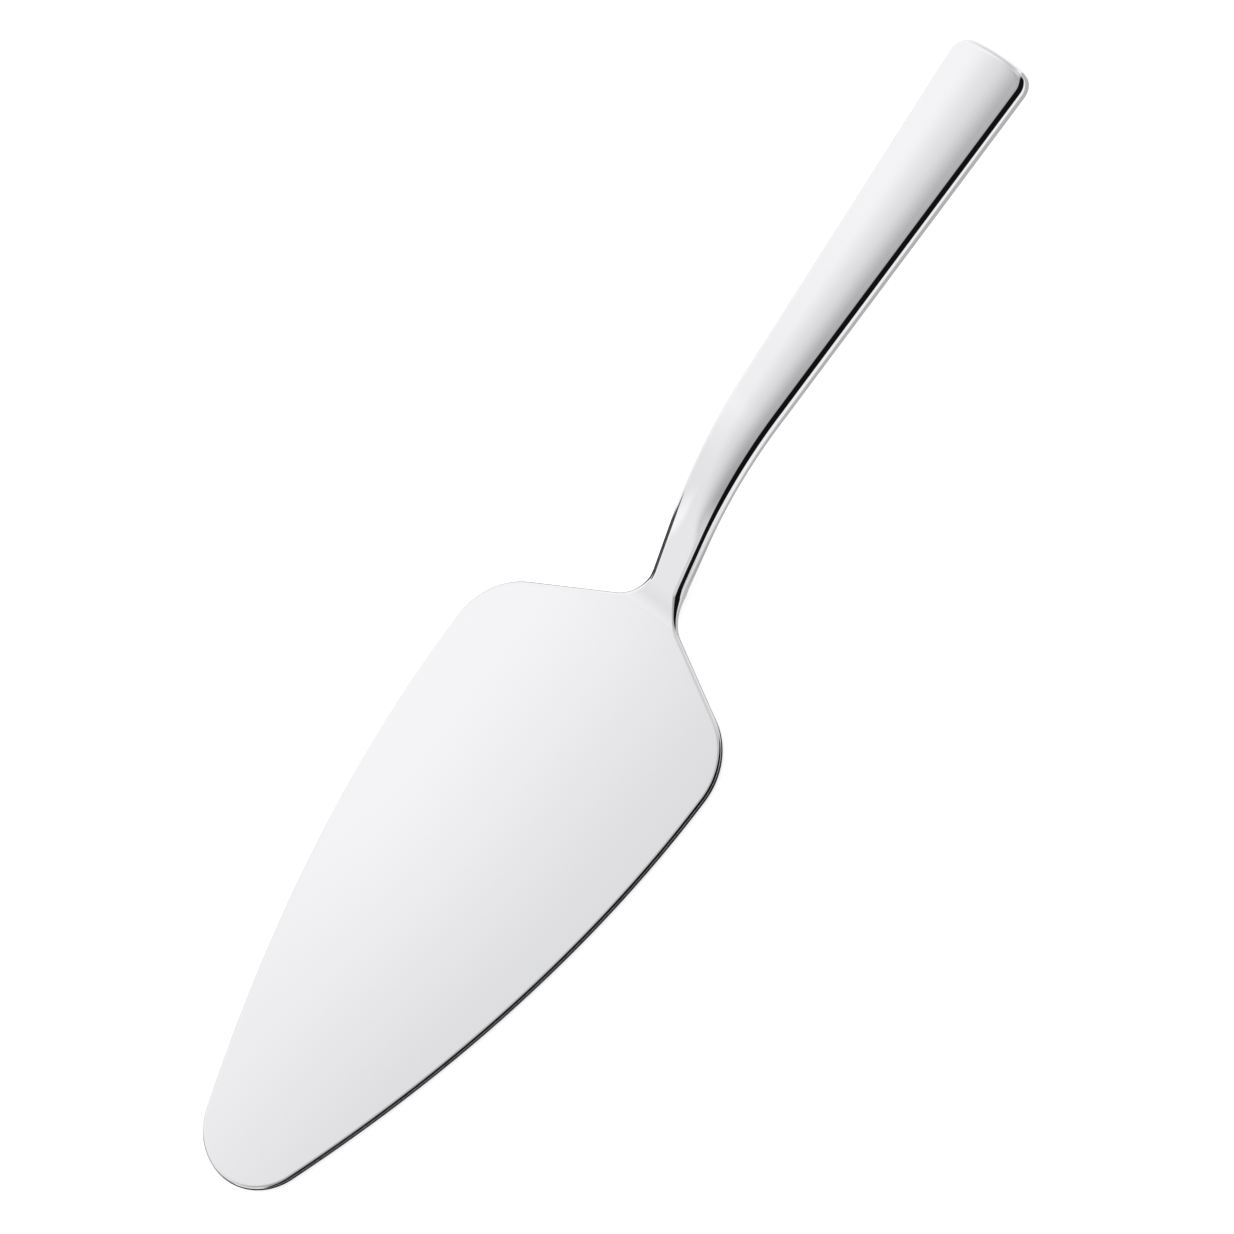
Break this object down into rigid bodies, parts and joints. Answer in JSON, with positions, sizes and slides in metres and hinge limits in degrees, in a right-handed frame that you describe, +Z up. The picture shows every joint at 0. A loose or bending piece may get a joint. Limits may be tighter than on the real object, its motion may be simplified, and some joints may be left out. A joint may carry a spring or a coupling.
{
  "type": "cake server",
  "caption": "Polished steel cake server: a flat blade with a rounded tip and round shoulders, a bent neck and a hollow handle that widens to a straight end.",
  "frame": {"origin": "centre of the outline's box, seen from above, on the surface that the blade lies on", "axes": "+X along the server towards the end of the handle, +Y across it, +Z up from the blade's underside"},
  "size_m": [0.2604, 0.0676, 0.0263],
  "materials": {
    "polished_steel": "mirror polished stainless steel",
    "handle_cement": "hard grey cement, hidden inside the handle"
  },
  "bodies": {
    "root": {"blade": "polished_steel", "neck_stem": "polished_steel", "handle_upper_shell": "polished_steel", "handle_lower_shell": "polished_steel", "handle_filler": "handle_cement"}
  },
  "joints": []
}
